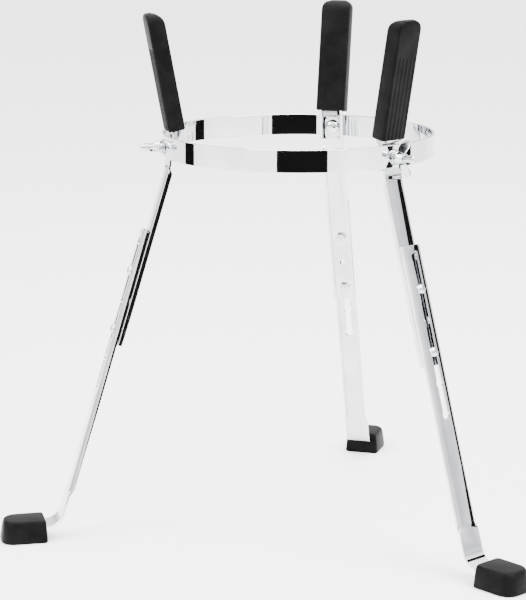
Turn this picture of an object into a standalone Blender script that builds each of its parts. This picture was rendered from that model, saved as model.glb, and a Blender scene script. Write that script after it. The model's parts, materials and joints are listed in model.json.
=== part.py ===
"""Drum stand: a flat-band ring carried by three clamped units, each an upright arm in a rubber
sleeve, an upper leg, a slotted lower leg that slides on it, and a rubber foot. Metres, +Z up.
The ring's axis is the Z axis and the floor is Z = 0."""
import bpy
import bmesh
import math
from mathutils import Matrix, Vector

# ---- driving dimensions (metres, degrees) ----
RING_R = 0.150          # outer radius of the band
RING_T = 0.003          # band thickness
RING_H = 0.024          # band height
RING_TOP = 0.448        # top edge above the floor
RING_SEG = 72
UNITS = {"back": 90.0, "left": 210.0, "right": 330.0}
NUT_TURN = {"back": 30.0, "left": 88.0, "right": 3.0}   # rest angle of each wing nut
GAP = 0.0003            # gap between touching pieces
SHEET = 0.0025          # leg and arm sheet
BOLT_Z = RING_TOP - 0.013
BOLT_R = 0.004
HOLE_R = 0.0043
LEG_FACE = 0.1461       # radius of the upper leg's outer face at the clamp
BEND_Z = 0.417          # where the upper leg turns outward
SPLAY = math.radians(16.9)
LEG_W = 0.0252          # channel width
LEG_D = 0.006           # channel depth
UPPER_END = 0.2070      # upper leg's lower end, along the leg from the bend
LOWER_TOP = 0.0777
PITCH = 0.0337          # height setting pitch
SLOT_FIRST = 0.0912     # first of the slot's round places
SLOT_N = 6
SLOT_W = 0.0068
SLOT_R = 0.0048
SCREW_S = (SLOT_FIRST + PITCH, SLOT_FIRST + 3 * PITCH)
SCREW_R = 0.003
KINK = 0.3815           # where the lower leg's flanges end
FLAT_W = 0.0290
FOOT_BEND_R = 0.019
FOOT_Z = 0.0165         # height of the leg strip inside the foot
FOOT_IN = 0.2875
FOOT_OUT = 0.3380
FOOT_W = 0.0415
FOOT_H = 0.0250
ARM_W = 0.0272
ARM_D = 0.0115
ARM_LOW = 0.4205
ARM_BEND = 0.4495
LEAN = math.radians(10.5)
PAD_W = 0.0338
PAD_D = 0.0188
PAD_H = 0.1285
PAD_LOW = 0.4520
PAD_FACE = 0.1470

for o in list(bpy.data.objects):
    bpy.data.objects.remove(o)


def material(name, colour, rough, metal):
    m = bpy.data.materials.new(name)
    m.use_nodes = True
    b = m.node_tree.nodes["Principled BSDF"]
    b.inputs["Base Color"].default_value = (*colour, 1.0)
    b.inputs["Roughness"].default_value = rough
    b.inputs["Metallic"].default_value = metal
    return m


CHROME = {k: material("chrome_" + k, c, r, 1.0) for k, c, r in (
    ("ring", (0.80, 0.81, 0.83), 0.05), ("arm", (0.78, 0.79, 0.81), 0.08),
    ("upper", (0.79, 0.80, 0.82), 0.07), ("lower", (0.81, 0.82, 0.84), 0.07),
    ("hardware", (0.76, 0.77, 0.79), 0.12))}
RUBBER = {"pad": material("rubber_pad", (0.016, 0.016, 0.017), 0.55, 0.0),
          "foot": material("rubber_foot", (0.012, 0.012, 0.013), 0.6, 0.0)}


def finish(name, bm, mat, frame, pivot=None):
    """Close up a mesh given in a unit's own frame (x outward, y along the ring, z up)."""
    bmesh.ops.remove_doubles(bm, verts=bm.verts, dist=0.00001)
    bmesh.ops.dissolve_degenerate(bm, edges=bm.edges, dist=0.00001)
    bmesh.ops.recalc_face_normals(bm, faces=bm.faces)
    bm.transform(frame)
    me = bpy.data.meshes.new(name)
    origin = frame @ Vector(pivot) if pivot is not None else Vector((0, 0, 0))
    bm.transform(Matrix.Translation(-origin))
    bm.to_mesh(me)
    bm.free()
    ob = bpy.data.objects.new(name, me)
    ob.location = origin
    bpy.context.scene.collection.objects.link(ob)
    me.materials.append(mat)
    me.shade_smooth()
    me.set_sharp_from_angle(angle=math.radians(34))
    return ob


def loft(sections, bm=None):
    """A closed body through loops of equally many points, with flat ends."""
    bm = bm or bmesh.new()
    loops = [[bm.verts.new(p) for p in sec] for sec in sections]
    n = len(loops[0])
    for a, b in zip(loops, loops[1:]):
        for i in range(n):
            j = (i + 1) % n
            bm.faces.new((a[i], a[j], b[j], b[i]))
    bm.faces.new(loops[0][::-1])
    bm.faces.new(loops[-1])
    return bm


def revolve(profile, centre, seg=20):
    """Solid of revolution about the x axis through centre: profile is (x, radius) pairs."""
    bm = bmesh.new()
    loops = []
    for x, r in profile:
        loops.append([(centre[0] + x, centre[1] + r * math.cos(2 * math.pi * k / seg),
                       centre[2] + r * math.sin(2 * math.pi * k / seg)) for k in range(seg)])
    return loft(loops, bm)


def cut(ob, cutters):
    for c in cutters:
        c.hide_render = True
        c.display_type = "WIRE"
        m = ob.modifiers.new("cut", "BOOLEAN")
        m.operation = "DIFFERENCE"
        m.solver = "EXACT"
        m.object = c


def cylinder_x(name, x0, x1, y, z, r, frame, tilt=None, seg=16):
    bm = bmesh.new()
    loops = [[(x, r * math.cos(2 * math.pi * k / seg), r * math.sin(2 * math.pi * k / seg))
              for k in range(seg)] for x in (x0, x1)]
    loft(loops, bm)
    bm.transform(tilt if tilt is not None else Matrix.Translation((0, y, z)))
    return finish(name, bm, CHROME["hardware"], frame)


def channel(width, depth, sheet, rad, n=2):
    """Open channel section: (across, inward) points, web at inward = 0, flanges inward."""
    w, ri = width / 2, max(rad - sheet, 0.0004)
    pts = [(-w, depth)]
    for k in range(n + 1):
        a = math.pi / 2 * k / n
        pts.append((-w + rad - rad * math.cos(a), min(rad - rad * math.sin(a), depth)))
    for k in range(n + 1):
        a = math.pi / 2 * k / n
        pts.append((w - rad + rad * math.sin(a), min(rad - rad * math.cos(a), depth)))
    pts.append((w, depth))
    pts.append((w - sheet, depth))
    for k in range(n + 1):
        a = math.pi / 2 * k / n
        pts.append((w - sheet - ri + ri * math.cos(a), min(sheet + ri - ri * math.sin(a), depth)))
    for k in range(n + 1):
        a = math.pi / 2 * k / n
        pts.append((-w + sheet + ri - ri * math.sin(a), min(sheet + ri - ri * math.cos(a), depth)))
    pts.append((-w + sheet, depth))
    return pts


def place(section, at, across, inward):
    return [tuple(at + across * u + inward * d) for u, d in section]


def slab(width, sheet, n=2):
    """Flat strip section with as many points as the channel."""
    w, e = width / 2, 0.0004
    pts = [(-w, sheet - e)]
    for k in range(n + 1):
        pts.append((-w + e * k / n, e - e * k / n))
    for k in range(n + 1):
        pts.append((w - e + e * k / n, e * k / n))
    pts.append((w, sheet - e))
    pts.append((w - e, sheet))
    for k in range(n + 1):
        pts.append((w - e - (w - e) * 0.9 * (k + 1) / (n + 2), sheet))
    for k in range(n + 1):
        pts.append((-(w - e) + (w - e) * 0.9 * (n + 1 - k) / (n + 2), sheet))
    pts.append((-w + e, sheet))
    return pts


def mix(a, b, f):
    return [((1 - f) * p[0] + f * q[0], (1 - f) * p[1] + f * q[1]) for p, q in zip(a, b)]


Y = Vector((0, 1, 0))
Z = Vector((0, 0, 1))
A = Vector((math.sin(SPLAY), 0, -math.cos(SPLAY)))     # down the leg
N = Vector((math.cos(SPLAY), 0, math.sin(SPLAY)))      # out of the leg's face
BEND = Vector((LEG_FACE, 0, BEND_Z))


def leg_point(s, u, d):
    return BEND + A * s + Y * u - N * d


# ---- ring ----
bm = bmesh.new()
c = 0.0004
prof = [(RING_R - c, RING_TOP), (RING_R, RING_TOP - c), (RING_R, RING_TOP - RING_H + c),
        (RING_R - c, RING_TOP - RING_H), (RING_R - RING_T + c, RING_TOP - RING_H),
        (RING_R - RING_T, RING_TOP - RING_H + c), (RING_R - RING_T, RING_TOP - c),
        (RING_R - RING_T + c, RING_TOP)]
loops = []
for k in range(RING_SEG):
    a = 2 * math.pi * k / RING_SEG
    loops.append([bm.verts.new((r * math.cos(a), r * math.sin(a), z)) for r, z in prof])
for k in range(RING_SEG):
    p, q = loops[k], loops[(k + 1) % RING_SEG]
    for i in range(8):
        j = (i + 1) % 8
        bm.faces.new((p[i], q[i], q[j], p[j]))
ring = finish("ring_band", bm, CHROME["ring"], Matrix.Identity(4))
holes = []
for tag, az in UNITS.items():
    F = Matrix.Rotation(math.radians(az), 4, "Z")
    holes.append(cylinder_x("cut_ring_" + tag, RING_R - 0.02, RING_R + 0.02, 0, BOLT_Z, HOLE_R, F,
                            Matrix.Translation((0, 0, BOLT_Z))))
cut(ring, holes)

for tag, az in UNITS.items():
    F = Matrix.Rotation(math.radians(az), 4, "Z")

    # arm: channel strip, upright behind the ring, then leaning outward inside its sleeve
    arm_x = LEG_FACE - SHEET - GAP
    up = Vector((math.sin(LEAN), 0, math.cos(LEAN)))
    out = Vector((math.cos(LEAN), 0, -math.sin(LEAN)))
    low = channel(ARM_W, 0.0075, SHEET, 0.0030)
    full = channel(ARM_W, ARM_D, SHEET, 0.0030)
    secs = [place(low, Vector((arm_x, 0, ARM_LOW)), Y, Vector((-1, 0, 0))),
            place(low, Vector((arm_x, 0, ARM_LOW + 0.012)), Y, Vector((-1, 0, 0)))]
    for k in range(5):
        t = LEAN * k / 4
        secs.append(place(mix(low, full, k / 4),
                          Vector((arm_x, 0, ARM_BEND - 0.004)) + Vector((0.04 * (1 - math.cos(t)), 0, 0.04 * math.sin(t))),
                          Y, Vector((-math.cos(t), 0, math.sin(t)))))
    bend_end = Vector((arm_x + 0.04 * (1 - math.cos(LEAN)), 0, ARM_BEND - 0.004 + 0.04 * math.sin(LEAN)))
    secs.append(place(full, bend_end + up * (PAD_H - 0.018), Y, -out))
    arm = finish("arm_" + tag, loft(secs), CHROME["arm"], F)
    cut(arm, [cylinder_x("cut_arm_" + tag, 0.12, 0.16, 0, BOLT_Z, HOLE_R, F, Matrix.Translation((0, 0, BOLT_Z)))])

    # rubber sleeve over the arm: rounded top, upright ribs low on its outer face
    base = Vector((PAD_FACE, 0, PAD_LOW))
    m, q, ribs = 3, 0.0028, 5
    secs = []
    for h in [0.0, 0.0015, 0.088, 0.091, 0.1145] + [0.1145 + 0.014 * k / 6 for k in range(1, 7)]:
        e = 0.0010 if h == 0.0 else 0.0
        t = max(0.0, h - (PAD_H - 0.010))
        side = 0.010 - math.sqrt(max(0.010 ** 2 - min(t, 0.00985) ** 2, 0.0))
        t2 = max(0.0, h - (PAD_H - 0.014))
        back = 0.013 * (1 - math.sqrt(max(1 - (min(t2, 0.0139) / 0.014) ** 2, 0.0)))
        w, d0, d1 = PAD_W / 2 - e - side, e + 0.12 * side, PAD_D - e - min(back, 0.0115)
        groove = 0.0008 if h <= 0.088 else 0.0
        r = min(q, w * 0.8, (d1 - d0) * 0.45)
        pts = []
        for cu, cd, s0 in ((w - r, d1 - r, 0), (-w + r, d1 - r, 1), (-w + r, d0 + r, 2)):
            for k in range(m + 1):
                a = math.pi / 2 * (s0 + k / m)
                pts.append((cu + r * math.cos(a), cd + r * math.sin(a)))
        for k in range(1, 2 * ribs * 2):
            f = k / (2 * ribs * 2)
            g = groove if (k % 4) in (2, 3) else 0.0
            pts.append((-w + r + (2 * w - 2 * r) * f, d0 + g))
        for k in range(m + 1):
            a = math.pi / 2 * (3 + k / m)
            pts.append((w - r + r * math.cos(a), d0 + r + r * math.sin(a)))
        at = base + up * h
        secs.append([tuple(at + Y * u - out * d) for u, d in pts])
    pad = finish("pad_" + tag, loft(secs), RUBBER["pad"], F)
    # pocket that the arm fills
    pk = bmesh.new()
    pw = ARM_W / 2 + GAP
    # distance of the arm's outer face behind the sleeve's outer face
    off = (base - bend_end).dot(out)
    p0, p1 = off - GAP, off + ARM_D + GAP
    start = (bend_end - base).dot(up) - 0.02
    stop = (bend_end - base).dot(up) + PAD_H - 0.018 + GAP
    loft([[tuple(base + up * h + Y * u - out * d) for u, d in ((-pw, p0), (pw, p0), (pw, p1), (-pw, p1))]
          for h in (start, stop)], pk)
    cut(pad, [finish("cut_pad_" + tag, pk, RUBBER["pad"], F)])

    # upper leg: flat head behind the ring, bend, then a channel down the leg
    flat = slab(LEG_W, SHEET)
    chan = channel(LEG_W, LEG_D, SHEET, 0.0030)
    secs = [place(flat, Vector((LEG_FACE, 0, RING_TOP - 0.0015)), Y, Vector((-1, 0, 0))),
            place(flat, Vector((LEG_FACE, 0, BEND_Z + 0.0012)), Y, Vector((-1, 0, 0)))]
    secs.append(place(flat, leg_point(0.0012, 0, 0), Y, -N))
    secs.append(place(flat, leg_point(0.0050, 0, 0), Y, -N))
    secs.append(place(mix(flat, chan, 0.6), leg_point(0.0068, 0, 0), Y, -N))
    secs.append(place(chan, leg_point(0.0095, 0, 0), Y, -N))
    secs.append(place(chan, leg_point(UPPER_END, 0, 0), Y, -N))
    upper = finish("upper_leg_" + tag, loft(secs), CHROME["upper"], F)
    tilt = lambda s: Matrix.Translation(leg_point(s, 0, 0)) @ Matrix(((N.x, 0, -A.x, 0), (0, 1, 0, 0), (N.z, 0, -A.z, 0), (0, 0, 0, 1)))
    cutters = [cylinder_x("cut_head_" + tag, 0.12, 0.16, 0, BOLT_Z, HOLE_R, F, Matrix.Translation((0, 0, BOLT_Z)))]
    for k, s in enumerate((SCREW_S[0], SCREW_S[0] + PITCH, SCREW_S[1])):
        cutters.append(cylinder_x("cut_upper%d_%s" % (k, tag), -0.006, 0.004, 0, 0, SCREW_R + 0.0004, F, tilt(s)))
    cut(upper, cutters)

    # lower leg: channel stacked on the upper leg's face, then a flat strip bent into the foot
    face = -(LEG_D + GAP)
    chan = channel(LEG_W, LEG_D, SHEET, 0.0030)
    wide = slab(FLAT_W, SHEET)
    secs = [place(chan, leg_point(LOWER_TOP, 0, face), Y, -N),
            place(chan, leg_point(KINK - 0.005, 0, face), Y, -N),
            place(mix(chan, wide, 0.55), leg_point(KINK - 0.001, 0, face), Y, -N),
            place(wide, leg_point(KINK + 0.003, 0, face), Y, -N)]
    turn = math.pi / 2 - SPLAY
    # middle plane of the strip meets the foot's height
    half = SHEET / 2
    s_meet = ((BEND + N * (-face - half)).z - FOOT_Z) / math.cos(SPLAY)
    s0 = s_meet - FOOT_BEND_R * math.tan(turn / 2)
    start = leg_point(s0, 0, face + half)
    centre = start + N * FOOT_BEND_R
    for k in range(9):
        a = turn * k / 8
        inward = (-N) * math.cos(a) + A * math.sin(a)
        mid = centre + inward * FOOT_BEND_R
        secs.append(place(wide, mid - inward * half, Y, inward))
    end = centre + (-Z) * FOOT_BEND_R
    secs.append(place(wide, Vector((FOOT_IN + 0.036, 0, end.z + half)), Y, -Z))
    lower = finish("lower_leg_" + tag, loft(secs), CHROME["lower"], F, leg_point(0.2, 0, face))
    sl = bmesh.new()
    outline = []
    sh = math.asin(SLOT_W / 2 / SLOT_R)
    for side in (1, -1):
        order = range(SLOT_N) if side == 1 else range(SLOT_N - 1, -1, -1)
        for k in order:
            s = SLOT_FIRST + PITCH * k
            first, last = (k == 0, k == SLOT_N - 1) if side == 1 else (k == SLOT_N - 1, k == 0)
            a0 = 0.0 if first else sh
            a1 = math.pi if last else math.pi - sh
            if first:
                a0 = 0.0
            steps = 7
            for i in range(steps + (0 if last else 1)):
                a = a0 + (a1 - a0) * i / steps
                outline.append((s - side * SLOT_R * math.cos(a), side * SLOT_R * math.sin(a)))
    loft([[tuple(leg_point(s, u, d)) for s, u in outline] for d in (face - 0.004, face + 0.0042)], sl)
    cut(lower, [finish("cut_slot_" + tag, sl, CHROME["lower"], F)])

    # rubber foot with rounded toe and drafted sides, closed over the strip's end
    secs = []
    for z, inset in ((0.0, 0.0012), (0.0008, 0.0003), (0.0025, 0.0), (0.018, 0.0016), (0.0228, 0.0026), (0.0243, 0.0036), (0.025, 0.0055)):
        w, x0, x1 = FOOT_W / 2 - inset, FOOT_IN + inset * 0.5, FOOT_OUT - inset * 1.3
        pts = []
        for cx, cy, r, s1 in ((x1 - 0.0135, w - 0.0135, 0.0135, 0), (x0 + 0.003, w - 0.003, 0.003, 1),
                              (x0 + 0.003, -w + 0.003, 0.003, 2), (x1 - 0.0135, -w + 0.0135, 0.0135, 3)):
            for k in range(5):
                a = math.pi / 2 * (s1 + k / 4)
                pts.append((cx + r * math.cos(a), cy + r * math.sin(a), z))
        secs.append(pts)
    foot = finish("foot_" + tag, loft(secs), RUBBER["foot"], F, (FOOT_IN, 0, 0))
    pb = bmesh.new()
    pw = FLAT_W / 2 + GAP
    z0, z1 = end.z - half - GAP, end.z + half + GAP
    loft([[(x, -pw, z0), (x, pw, z0), (x, pw, z1), (x, -pw, z1)] for x in (FOOT_IN - 0.01, FOOT_IN + 0.036 + GAP)], pb)
    cut(foot, [finish("cut_foot_" + tag, pb, RUBBER["foot"], F)])

    # clamp bolt with domed head, washer and wing nut
    hx = arm_x - SHEET - GAP
    dome = [(-0.0050 * math.sin(a), 0.0085 * math.cos(a)) for a in [math.pi / 2 * k / 5 for k in range(5, -1, -1)]]
    dome[0] = (-0.0050, 0.0005)
    finish("clamp_bolt_" + tag, revolve(dome + [(0.0, BOLT_R), (0.0355, BOLT_R), (0.0362, BOLT_R - 0.0007)],
           (hx, 0, BOLT_Z)), CHROME["hardware"], F)
    wx = RING_R + GAP
    ws = bmesh.new()
    wl = [[(wx + x, r * math.cos(2 * math.pi * k / 20), BOLT_Z + r * math.sin(2 * math.pi * k / 20)) for k in range(20)]
          for x, r in ((0.0, HOLE_R), (0.0, 0.0084), (0.0016, 0.0084), (0.0016, HOLE_R))]
    wv = [[ws.verts.new(p) for p in l] for l in wl]
    for a, b in zip(wv, wv[1:] + wv[:1]):
        for i in range(20):
            j = (i + 1) % 20
            ws.faces.new((a[i], a[j], b[j], b[i]))
    finish("clamp_washer_" + tag, ws, CHROME["hardware"], F)
    nx = wx + 0.0016 + GAP
    hub = revolve([(0.0, 0.0068), (0.0012, 0.0072), (0.0040, 0.0066), (0.0100, 0.0052), (0.0105, 0.0049)], (nx, 0, BOLT_Z))
    R2 = Matrix.Translation((0, 0, BOLT_Z)) @ Matrix.Rotation(math.radians(NUT_TURN[tag]), 4, "X") @ Matrix.Translation((0, 0, -BOLT_Z))
    hub.transform(R2)
    nut = finish("wing_nut_" + tag, hub, CHROME["hardware"], F, (nx, 0, BOLT_Z))
    for side in (1, -1):
        wing = bmesh.new()
        rows = []
        for y in (-0.00115, 0.00115):
            row = []
            for px, pz in ((0.0015, 0.0030), (0.0022, 0.0100), (0.0062, 0.0158), (0.0100, 0.0192), (0.0135, 0.0203),
                           (0.0163, 0.0196), (0.0178, 0.0172), (0.0176, 0.0142), (0.0160, 0.0112), (0.0128, 0.0082), (0.0098, 0.0048), (0.0092, 0.0030)):
                row.append((nx + px, y, BOLT_Z + side * pz))
            rows.append(row)
        loft(rows, wing)
        wing.transform(R2)
        w = finish("wing_%s_%d" % (tag, side), wing, CHROME["hardware"], F)
        w.hide_render = True
        w.display_type = "WIRE"
        mod = nut.modifiers.new("wing", "BOOLEAN")
        mod.operation = "UNION"
        mod.solver = "EXACT"
        mod.object = w
    cut(nut, [cylinder_x("cut_nut_" + tag, 0.145, 0.185, 0, BOLT_Z, HOLE_R, F, Matrix.Translation((0, 0, BOLT_Z)), 20)])

    # height screws and their nuts
    for k, s in enumerate(SCREW_S):
        hd = LEG_D + GAP + GAP
        head = [(0.0031, 0.0022), (0.0030, 0.0030), (0.0024, 0.0041), (0.0012, 0.0050), (0.0, 0.00525)]
        end_x = -(SHEET + GAP + 0.0046)
        sc = bmesh.new()
        prof = [(hd + 0.0012, 0.0018), (hd + 0.0031, 0.0018)] + [(hd + x, r) for x, r in head] + \
               [(hd, SCREW_R), (end_x + 0.0004, SCREW_R), (end_x, SCREW_R - 0.0004)]
        lp = [[(x, r * math.cos(2 * math.pi * i / 16), r * math.sin(2 * math.pi * i / 16)) for i in range(16)] for x, r in prof]
        loft(lp, sc)
        sc.transform(tilt(s))
        finish("height_screw%d_%s" % (k + 1, tag), sc, CHROME["hardware"], F)
        nb = bmesh.new()
        x0 = -(SHEET + GAP)
        loops = []
        for x, hexed in ((x0, True), (x0 - 0.0036, True), (x0 - 0.0036, False), (x0, False)):
            loop = []
            for i in range(12):
                r = SCREW_R + 0.0003
                if hexed:
                    r = 0.0050 if i % 2 else 0.0050 / math.cos(math.pi / 6)
                loop.append(nb.verts.new((x, r * math.cos(math.pi * i / 6), r * math.sin(math.pi * i / 6))))
            loops.append(loop)
        for a, b in zip(loops, loops[1:] + loops[:1]):
            for i in range(12):
                j = (i + 1) % 12
                nb.faces.new((a[i], a[j], b[j], b[i]))
        nb.transform(tilt(s))
        finish("height_nut%d_%s" % (k + 1, tag), nb, CHROME["hardware"], F)
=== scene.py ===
import bpy
import json
import math
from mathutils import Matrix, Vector

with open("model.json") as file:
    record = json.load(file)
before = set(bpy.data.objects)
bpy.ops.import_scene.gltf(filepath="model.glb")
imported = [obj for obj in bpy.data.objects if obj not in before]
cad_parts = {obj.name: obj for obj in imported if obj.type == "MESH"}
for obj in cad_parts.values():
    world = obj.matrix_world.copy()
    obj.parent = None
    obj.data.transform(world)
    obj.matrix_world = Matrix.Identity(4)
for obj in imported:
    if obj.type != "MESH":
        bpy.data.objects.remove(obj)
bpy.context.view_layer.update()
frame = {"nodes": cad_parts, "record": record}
nodes = frame["nodes"]


def ramp(tree, fac, a, b, lo=0.35, hi=0.65):
    r = tree.nodes.new("ShaderNodeValToRGB")
    r.color_ramp.elements[0].position = lo
    r.color_ramp.elements[1].position = hi
    r.color_ramp.elements[0].color = (*a, 1)
    r.color_ramp.elements[1].color = (*b, 1)
    tree.links.new(fac, r.inputs["Fac"])
    return r


def surface(name, dark, light, rough, metal, scale, bump, depth, spec=0.5):
    """Principled surface whose colour, roughness and height come from noise in the piece's own space."""
    m = bpy.data.materials.new(name)
    m.use_nodes = True
    t = m.node_tree
    p = t.nodes["Principled BSDF"]
    co = t.nodes.new("ShaderNodeTexCoord")
    n1 = t.nodes.new("ShaderNodeTexNoise")
    n1.inputs["Scale"].default_value = scale
    n1.inputs["Detail"].default_value = 5
    t.links.new(co.outputs["Object"], n1.inputs["Vector"])
    t.links.new(ramp(t, n1.outputs["Fac"], dark, light).outputs["Color"], p.inputs["Base Color"])
    n2 = t.nodes.new("ShaderNodeTexNoise")
    n2.inputs["Scale"].default_value = scale * 0.35
    n2.inputs["Detail"].default_value = 3
    t.links.new(co.outputs["Object"], n2.inputs["Vector"])
    mr = t.nodes.new("ShaderNodeMapRange")
    mr.inputs["To Min"].default_value = rough[0]
    mr.inputs["To Max"].default_value = rough[1]
    t.links.new(n2.outputs["Fac"], mr.inputs["Value"])
    t.links.new(mr.outputs["Result"], p.inputs["Roughness"])
    n3 = t.nodes.new("ShaderNodeTexNoise")
    n3.inputs["Scale"].default_value = bump
    n3.inputs["Detail"].default_value = 4
    t.links.new(co.outputs["Object"], n3.inputs["Vector"])
    b = t.nodes.new("ShaderNodeBump")
    b.inputs["Strength"].default_value = depth
    b.inputs["Distance"].default_value = 0.0004
    t.links.new(n3.outputs["Fac"], b.inputs["Height"])
    t.links.new(b.outputs["Normal"], p.inputs["Normal"])
    p.inputs["Metallic"].default_value = metal
    p.inputs["Specular IOR Level"].default_value = spec
    return m


LOOK = {
    "chrome_ring": surface("ring chrome", (0.64, 0.65, 0.67), (0.74, 0.75, 0.77), (0.015, 0.04), 1.0, 30, 14, 0.02),
    "chrome_leg": surface("leg chrome", (0.58, 0.59, 0.61), (0.69, 0.70, 0.72), (0.03, 0.07), 1.0, 34, 18, 0.03),
    "chrome_hardware": surface("plated hardware", (0.54, 0.55, 0.57), (0.68, 0.69, 0.71), (0.09, 0.16), 1.0, 90, 120, 0.05),
    "rubber_pad": surface("sleeve rubber", (0.0010, 0.0010, 0.0011), (0.0030, 0.0030, 0.0032), (0.42, 0.58), 0.0, 60, 900, 0.25, 0.05),
    "rubber_foot": surface("foot rubber", (0.0010, 0.0010, 0.0011), (0.0028, 0.0028, 0.0030), (0.40, 0.55), 0.0, 60, 900, 0.25, 0.05),
}
slot_of = {s["node"]: s["material_slot"] for s in frame["record"]["subparts"]}
for name, ob in nodes.items():
    me = ob.data
    me.materials.clear()
    me.materials.append(LOOK[slot_of[name]])
    me.polygons.foreach_set("material_index", [0] * len(me.polygons))
    me.shade_smooth()
    weld = ob.modifiers.new("weld", "WELD")
    weld.merge_threshold = 0.000005
    split = ob.modifiers.new("split", "EDGE_SPLIT")
    split.split_angle = math.radians(34)
    split.use_edge_sharp = False


def plain(name, colour, strength=None):
    """Stage surface: matt with a faint mottling, or glowing if a strength is given."""
    m = bpy.data.materials.new(name)
    m.use_nodes = True
    t = m.node_tree
    p = t.nodes["Principled BSDF"]
    n = t.nodes.new("ShaderNodeTexNoise")
    n.inputs["Scale"].default_value = 3
    lo = tuple(c * 0.985 for c in colour)
    t.links.new(ramp(t, n.outputs["Fac"], lo, colour).outputs["Color"], p.inputs["Base Color"])
    p.inputs["Roughness"].default_value = 0.9
    p.inputs["Specular IOR Level"].default_value = 0.0
    if strength is not None:
        p.inputs["Emission Color"].default_value = (*colour, 1)
        p.inputs["Emission Strength"].default_value = strength
    return m


def card(name, centre, width, height, facing, mat):
    """Upright or tilted rectangle whose front looks along facing."""
    me = bpy.data.meshes.new(name)
    me.from_pydata([(-width / 2, -height / 2, 0), (width / 2, -height / 2, 0),
                    (width / 2, height / 2, 0), (-width / 2, height / 2, 0)], [], [(0, 1, 2, 3)])
    ob = bpy.data.objects.new(name, me)
    ob.location = centre
    ob.rotation_euler = Vector(facing).to_track_quat("Z", "Y").to_euler()
    bpy.context.scene.collection.objects.link(ob)
    me.materials.append(mat)
    return ob


white = plain("pale floor", (0.90, 0.90, 0.90))
black = plain("dark card", (0.003, 0.003, 0.003))
CAM = Vector((0.65985, -2.23169, 0.7606))
out = Vector((CAM.x, CAM.y, 0)).normalized()
side = Vector((-out.y, out.x, 0))
stage = [card("floor", (0, 0, -0.0002), 40, 40, (0, 0, 1), white)]
wedge = []
for r, a in ((1.15, -17.0), (1.15, 24.0), (7.0, 24.0), (7.0, -17.0)):
    t = math.radians(a)
    wedge.append(tuple(out * r * math.cos(t) + side * r * math.sin(t) + Vector((0, 0, 0.001))))
flag_mesh = bpy.data.meshes.new("dark_floor")
flag_mesh.from_pydata(wedge, [], [(0, 1, 2, 3)])
flag_mesh.materials.append(black)
flag = bpy.data.objects.new("dark_floor", flag_mesh)
bpy.context.scene.collection.objects.link(flag)
stage.append(flag)
for s in (1, -1):
    d = (out * math.cos(math.radians(100)) + side * s * math.sin(math.radians(100)))
    stage.append(card("dark_side_%d" % (s + 1), tuple(d * 2.4 + Vector((0, 0, 0.9))), 0.50, 2.4, tuple(-d), black))
    d = (-out * math.cos(math.radians(50)) + side * s * math.sin(math.radians(50)))
    stage.append(card("dark_back_%d" % (s + 1), tuple(d * 3.4 + Vector((0, 0, 1.4))), 0.5, 2.4, tuple(-d), black))

for name, pos, size, power in (("key", tuple(out * 1.4 + side * 1.8 + Vector((0, 0, 2.6))), 1.6, 190),
                               ("fill", tuple(out * 1.2 - side * 2.2 + Vector((0, 0, 1.9))), 1.8, 110),
                               ("top", (0, 0.2, 3.2), 2.4, 160)):
    la = bpy.data.lights.new(name, "AREA")
    la.size = size
    la.energy = power
    lo = bpy.data.objects.new(name, la)
    lo.location = pos
    lo.rotation_euler = (Vector((0, 0, 0.3)) - Vector(pos)).to_track_quat("-Z", "Y").to_euler()
    bpy.context.scene.collection.objects.link(lo)

world = bpy.data.worlds.new("studio")
world.use_nodes = True
wt = world.node_tree
coord = wt.nodes.new("ShaderNodeTexCoord")
split_xyz = wt.nodes.new("ShaderNodeSeparateXYZ")
wt.links.new(coord.outputs["Generated"], split_xyz.inputs["Vector"])
sky = ramp(wt, split_xyz.outputs["Z"], (0.75, 0.75, 0.75), (1, 1, 1), 0.0, 0.55)
low = sky.color_ramp.elements.new(0.2)
low.color = (0.36, 0.36, 0.37, 1)
wt.links.new(sky.outputs["Color"], wt.nodes["Background"].inputs["Color"])
wt.nodes["Background"].inputs["Strength"].default_value = 4.2
bpy.context.scene.world = world

cam_data = bpy.data.cameras.new("view")
cam_data.sensor_fit = "VERTICAL"
cam_data.sensor_height = 36
cam_data.lens = 2126.19 / 600 * 36
cam_data.clip_end = 100
cam = bpy.data.objects.new("view", cam_data)
yaw, pitch = math.radians(-17.42), math.radians(-12.2)
look = Vector((math.sin(yaw) * math.cos(pitch), math.cos(yaw) * math.cos(pitch), math.sin(pitch)))
cam.location = CAM
cam.rotation_euler = look.to_track_quat("-Z", "Y").to_euler()
bpy.context.scene.collection.objects.link(cam)
bpy.context.scene.camera = cam

bpy.context.view_layer.update()
